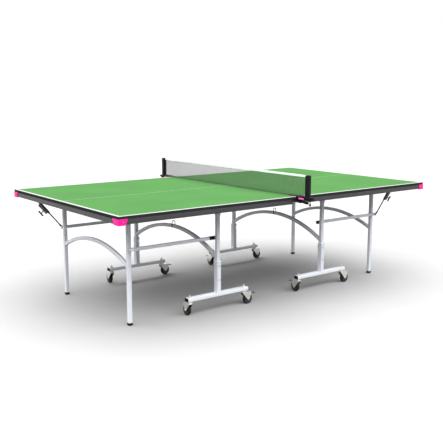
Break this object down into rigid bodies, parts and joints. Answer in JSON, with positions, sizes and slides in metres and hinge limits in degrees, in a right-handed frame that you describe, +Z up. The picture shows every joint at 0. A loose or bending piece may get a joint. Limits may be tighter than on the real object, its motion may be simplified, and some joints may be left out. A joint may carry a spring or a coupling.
{
  "type": "table tennis table",
  "caption": "Rollaway table tennis table in two halves; each half folds upright on a wheeled trolley, with net and clamps.",
  "frame": {"origin": "on the floor, under the middle of the net", "axes": "+X along the table towards the half that carries the net, +Y across it, +Z up"},
  "size_m": [2.746, 1.85, 0.912],
  "materials": {
    "playing_surface": "satin green lacquer on wood panel",
    "rail_paint": "dark grey powder coat",
    "guard_plastic": "moulded pink plastic",
    "zinc_steel": "zinc plated",
    "leg_paint": "silver grey powder coat",
    "black_plastic": "black moulded plastic",
    "black_rubber": "black rubber",
    "black_paint": "black powder coat",
    "castor_steel": "zinc plated pressed steel",
    "net_cord": "dark knotted net",
    "tape_fabric": "white woven tape"
  },
  "bodies": {
    "left_trolley": {"left_trolley_frame": "leg_paint", "left_trolley_feet": "leg_paint", "left_beam_caps": "black_plastic", "left_trolley_bolts": "zinc_steel"},
    "left_top": {"left_board": "playing_surface", "left_board_rails": "rail_paint", "left_corner_guards": "guard_plastic", "left_hinge_brackets": "zinc_steel"},
    "left_leg_frame": {"left_end_legs": "leg_paint", "left_leg_ferrules": "black_rubber"},
    "left_links": {"left_link_bars": "leg_paint", "left_link_bolts": "zinc_steel"},
    "left_stay_tube": {"left_stay_sleeve": "black_paint"},
    "left_stay_slider": {"left_stay_rod": "zinc_steel"},
    "left_stay_latch": {"left_stay_knob": "black_plastic"},
    "right_trolley": {"right_trolley_frame": "leg_paint", "right_trolley_feet": "leg_paint", "right_beam_caps": "black_plastic", "right_trolley_bolts": "zinc_steel"},
    "right_top": {"right_board": "playing_surface", "right_board_rails": "rail_paint", "right_corner_guards": "guard_plastic", "right_hinge_brackets": "zinc_steel", "net_mesh": "net_cord", "net_tape": "tape_fabric", "net_posts": "black_paint", "net_clamps": "black_plastic", "clamp_inserts": "guard_plastic"},
    "right_leg_frame": {"right_end_legs": "leg_paint", "right_leg_ferrules": "black_rubber"},
    "right_links": {"right_link_bars": "leg_paint", "right_link_bolts": "zinc_steel"},
    "right_stay_tube": {"right_stay_sleeve": "black_paint"},
    "right_stay_slider": {"right_stay_rod": "zinc_steel"},
    "right_stay_latch": {"right_stay_knob": "black_plastic"},
    "left_inner_front_swivel": {"left_inner_front_fork": "castor_steel"},
    "left_inner_front_wheel": {"left_inner_front_wheel": "black_rubber"},
    "left_inner_front_brake": {"left_inner_front_brake_pedal": "black_plastic"},
    "left_inner_rear_swivel": {"left_inner_rear_fork": "castor_steel"},
    "left_inner_rear_wheel": {"left_inner_rear_wheel": "black_rubber"},
    "left_inner_rear_brake": {"left_inner_rear_brake_pedal": "black_plastic"},
    "left_outer_front_swivel": {"left_outer_front_fork": "castor_steel"},
    "left_outer_front_wheel": {"left_outer_front_wheel": "black_rubber"},
    "left_outer_rear_swivel": {"left_outer_rear_fork": "castor_steel"},
    "left_outer_rear_wheel": {"left_outer_rear_wheel": "black_rubber"},
    "right_inner_front_swivel": {"right_inner_front_fork": "castor_steel"},
    "right_inner_front_wheel": {"right_inner_front_wheel": "black_rubber"},
    "right_inner_front_brake": {"right_inner_front_brake_pedal": "black_plastic"},
    "right_inner_rear_swivel": {"right_inner_rear_fork": "castor_steel"},
    "right_inner_rear_wheel": {"right_inner_rear_wheel": "black_rubber"},
    "right_inner_rear_brake": {"right_inner_rear_brake_pedal": "black_plastic"},
    "right_outer_front_swivel": {"right_outer_front_fork": "castor_steel"},
    "right_outer_front_wheel": {"right_outer_front_wheel": "black_rubber"},
    "right_outer_rear_swivel": {"right_outer_rear_fork": "castor_steel"},
    "right_outer_rear_wheel": {"right_outer_rear_wheel": "black_rubber"},
    "front_clamp": {"front_clamp_lever": "black_plastic"},
    "front_screw": {"front_height_screw": "black_plastic"},
    "rear_clamp": {"rear_clamp_lever": "black_plastic"},
    "rear_screw": {"rear_height_screw": "black_plastic"}
  },
  "joints": [
    {"name": "left_fold", "type": "hinge", "parent": "left_trolley", "child": "left_top", "pos_m": [-0.47, 0, 0.71], "axis": [0, 1, 0], "range_deg": [0, 90]},
    {"name": "left_leg_swing", "type": "hinge", "parent": "left_top", "child": "left_leg_frame", "pos_m": [-1.108, 0, 0.71], "axis": [0, 1, 0], "range_deg": [-90, 0]},
    {"name": "left_link_turn", "type": "hinge", "parent": "left_trolley", "child": "left_links", "pos_m": [-0.49, 0, 0.493], "axis": [0, 1, 0], "range_deg": [0, 90]},
    {"name": "left_stay_turn", "type": "hinge", "parent": "left_top", "child": "left_stay_tube", "pos_m": [-1.3254, 0, 0.725], "axis": [0, 1, 0], "range_deg": [-45, 0]},
    {"name": "left_stay_rod_turn", "type": "hinge", "parent": "left_leg_frame", "child": "left_stay_slider", "pos_m": [-1.128, 0, 0.493], "axis": [0, 1, 0], "range_deg": [0, 45]},
    {"name": "left_latch_pull", "type": "slide", "parent": "left_stay_tube", "child": "left_stay_latch", "axis": [-0.7616, 0, -0.648], "range_m": [0, 0.008], "stiffness_N_per_m": 600},
    {"name": "right_fold", "type": "hinge", "parent": "right_trolley", "child": "right_top", "pos_m": [0.47, 0, 0.71], "axis": [0, -1, 0], "range_deg": [0, 90]},
    {"name": "right_leg_swing", "type": "hinge", "parent": "right_top", "child": "right_leg_frame", "pos_m": [1.108, 0, 0.71], "axis": [0, -1, 0], "range_deg": [-90, 0]},
    {"name": "right_link_turn", "type": "hinge", "parent": "right_trolley", "child": "right_links", "pos_m": [0.49, 0, 0.493], "axis": [0, -1, 0], "range_deg": [0, 90]},
    {"name": "right_stay_turn", "type": "hinge", "parent": "right_top", "child": "right_stay_tube", "pos_m": [1.3254, 0, 0.725], "axis": [0, -1, 0], "range_deg": [-45, 0]},
    {"name": "right_stay_rod_turn", "type": "hinge", "parent": "right_leg_frame", "child": "right_stay_slider", "pos_m": [1.128, 0, 0.493], "axis": [0, -1, 0], "range_deg": [0, 45]},
    {"name": "right_latch_pull", "type": "slide", "parent": "right_stay_tube", "child": "right_stay_latch", "axis": [0.7616, 0, -0.648], "range_m": [0, 0.008], "stiffness_N_per_m": 600},
    {"name": "halves_part", "type": "slide", "parent": "left_trolley", "child": "right_trolley", "axis": [1, 0, 0], "range_m": [0, 0.4]},
    {"name": "left_inner_front_swivel", "type": "hinge", "parent": "left_trolley", "child": "left_inner_front_swivel", "pos_m": [-0.261, -0.523, 0.09], "axis": [0, 0, 1], "continuous": true},
    {"name": "left_inner_front_roll", "type": "hinge", "parent": "left_inner_front_swivel", "child": "left_inner_front_wheel", "pos_m": [-0.22613, -0.51995, 0.0375], "axis": [-0.0872, 0.9962, 0], "continuous": true},
    {"name": "left_inner_front_brake_press", "type": "hinge", "parent": "left_inner_front_swivel", "child": "left_inner_front_brake", "pos_m": [-0.2092, -0.51847, 0.078], "axis": [-0.0872, 0.9962, 0], "range_deg": [0, 10]},
    {"name": "left_inner_rear_swivel", "type": "hinge", "parent": "left_trolley", "child": "left_inner_rear_swivel", "pos_m": [-0.261, 0.523, 0.09], "axis": [0, 0, 1], "continuous": true},
    {"name": "left_inner_rear_roll", "type": "hinge", "parent": "left_inner_rear_swivel", "child": "left_inner_rear_wheel", "pos_m": [-0.22613, 0.52605, 0.0375], "axis": [-0.0872, 0.9962, 0], "continuous": true},
    {"name": "left_inner_rear_brake_press", "type": "hinge", "parent": "left_inner_rear_swivel", "child": "left_inner_rear_brake", "pos_m": [-0.2092, 0.52753, 0.078], "axis": [-0.0872, 0.9962, 0], "range_deg": [0, 10]},
    {"name": "left_outer_front_swivel", "type": "hinge", "parent": "left_trolley", "child": "left_outer_front_swivel", "pos_m": [-0.719, -0.523, 0.09], "axis": [0, 0, 1], "continuous": true},
    {"name": "left_outer_front_roll", "type": "hinge", "parent": "left_outer_front_swivel", "child": "left_outer_front_wheel", "pos_m": [-0.71534, -0.48819, 0.0375], "axis": [-0.9945, 0.1045, 0], "continuous": true},
    {"name": "left_outer_rear_swivel", "type": "hinge", "parent": "left_trolley", "child": "left_outer_rear_swivel", "pos_m": [-0.719, 0.523, 0.09], "axis": [0, 0, 1], "continuous": true},
    {"name": "left_outer_rear_roll", "type": "hinge", "parent": "left_outer_rear_swivel", "child": "left_outer_rear_wheel", "pos_m": [-0.71534, 0.55781, 0.0375], "axis": [-0.9945, 0.1045, 0], "continuous": true},
    {"name": "right_inner_front_swivel", "type": "hinge", "parent": "right_trolley", "child": "right_inner_front_swivel", "pos_m": [0.261, -0.523, 0.09], "axis": [0, 0, 1], "continuous": true},
    {"name": "right_inner_front_roll", "type": "hinge", "parent": "right_inner_front_swivel", "child": "right_inner_front_wheel", "pos_m": [0.26466, -0.48819, 0.0375], "axis": [-0.9945, 0.1045, 0], "continuous": true},
    {"name": "right_inner_front_brake_press", "type": "hinge", "parent": "right_inner_front_swivel", "child": "right_inner_front_brake", "pos_m": [0.26644, -0.47128, 0.078], "axis": [-0.9945, 0.1045, 0], "range_deg": [0, 10]},
    {"name": "right_inner_rear_swivel", "type": "hinge", "parent": "right_trolley", "child": "right_inner_rear_swivel", "pos_m": [0.261, 0.523, 0.09], "axis": [0, 0, 1], "continuous": true},
    {"name": "right_inner_rear_roll", "type": "hinge", "parent": "right_inner_rear_swivel", "child": "right_inner_rear_wheel", "pos_m": [0.26466, 0.55781, 0.0375], "axis": [-0.9945, 0.1045, 0], "continuous": true},
    {"name": "right_inner_rear_brake_press", "type": "hinge", "parent": "right_inner_rear_swivel", "child": "right_inner_rear_brake", "pos_m": [0.26644, 0.57472, 0.078], "axis": [-0.9945, 0.1045, 0], "range_deg": [0, 10]},
    {"name": "right_outer_front_swivel", "type": "hinge", "parent": "right_trolley", "child": "right_outer_front_swivel", "pos_m": [0.719, -0.523, 0.09], "axis": [0, 0, 1], "continuous": true},
    {"name": "right_outer_front_roll", "type": "hinge", "parent": "right_outer_front_swivel", "child": "right_outer_front_wheel", "pos_m": [0.75387, -0.51995, 0.0375], "axis": [-0.0872, 0.9962, 0], "continuous": true},
    {"name": "right_outer_rear_swivel", "type": "hinge", "parent": "right_trolley", "child": "right_outer_rear_swivel", "pos_m": [0.719, 0.523, 0.09], "axis": [0, 0, 1], "continuous": true},
    {"name": "right_outer_rear_roll", "type": "hinge", "parent": "right_outer_rear_swivel", "child": "right_outer_rear_wheel", "pos_m": [0.75387, 0.52605, 0.0375], "axis": [-0.0872, 0.9962, 0], "continuous": true},
    {"name": "front_clamp_squeeze", "type": "hinge", "parent": "right_top", "child": "front_clamp", "pos_m": [0.012, -0.773, 0.736], "axis": [-1, 0, 0], "range_deg": [0, 6], "stiffness_Nm_per_rad": 4, "springref_deg": -2.86},
    {"name": "front_height_turn", "type": "hinge", "parent": "right_top", "child": "front_screw", "pos_m": [0, -0.888, 0.72], "axis": [0, 0, 1], "continuous": true},
    {"name": "rear_clamp_squeeze", "type": "hinge", "parent": "right_top", "child": "rear_clamp", "pos_m": [0.012, 0.773, 0.736], "axis": [1, 0, 0], "range_deg": [0, 6], "stiffness_Nm_per_rad": 4, "springref_deg": -2.86},
    {"name": "rear_height_turn", "type": "hinge", "parent": "right_top", "child": "rear_screw", "pos_m": [0, 0.888, 0.72], "axis": [0, 0, 1], "continuous": true}
  ],
  "couplings": [
    {"joint": "left_leg_swing", "follows": "left_fold", "ratio": -1},
    {"joint": "left_link_turn", "follows": "left_fold", "ratio": 1},
    {"joint": "left_stay_turn", "follows": "left_fold", "ratio": -0.5},
    {"joint": "left_stay_rod_turn", "follows": "left_fold", "ratio": 0.5},
    {"joint": "right_leg_swing", "follows": "right_fold", "ratio": -1},
    {"joint": "right_link_turn", "follows": "right_fold", "ratio": 1},
    {"joint": "right_stay_turn", "follows": "right_fold", "ratio": -0.5},
    {"joint": "right_stay_rod_turn", "follows": "right_fold", "ratio": 0.5},
    {"joint": "halves_part", "follows": "right_fold", "m_per_rad": 0.25465}
  ]
}
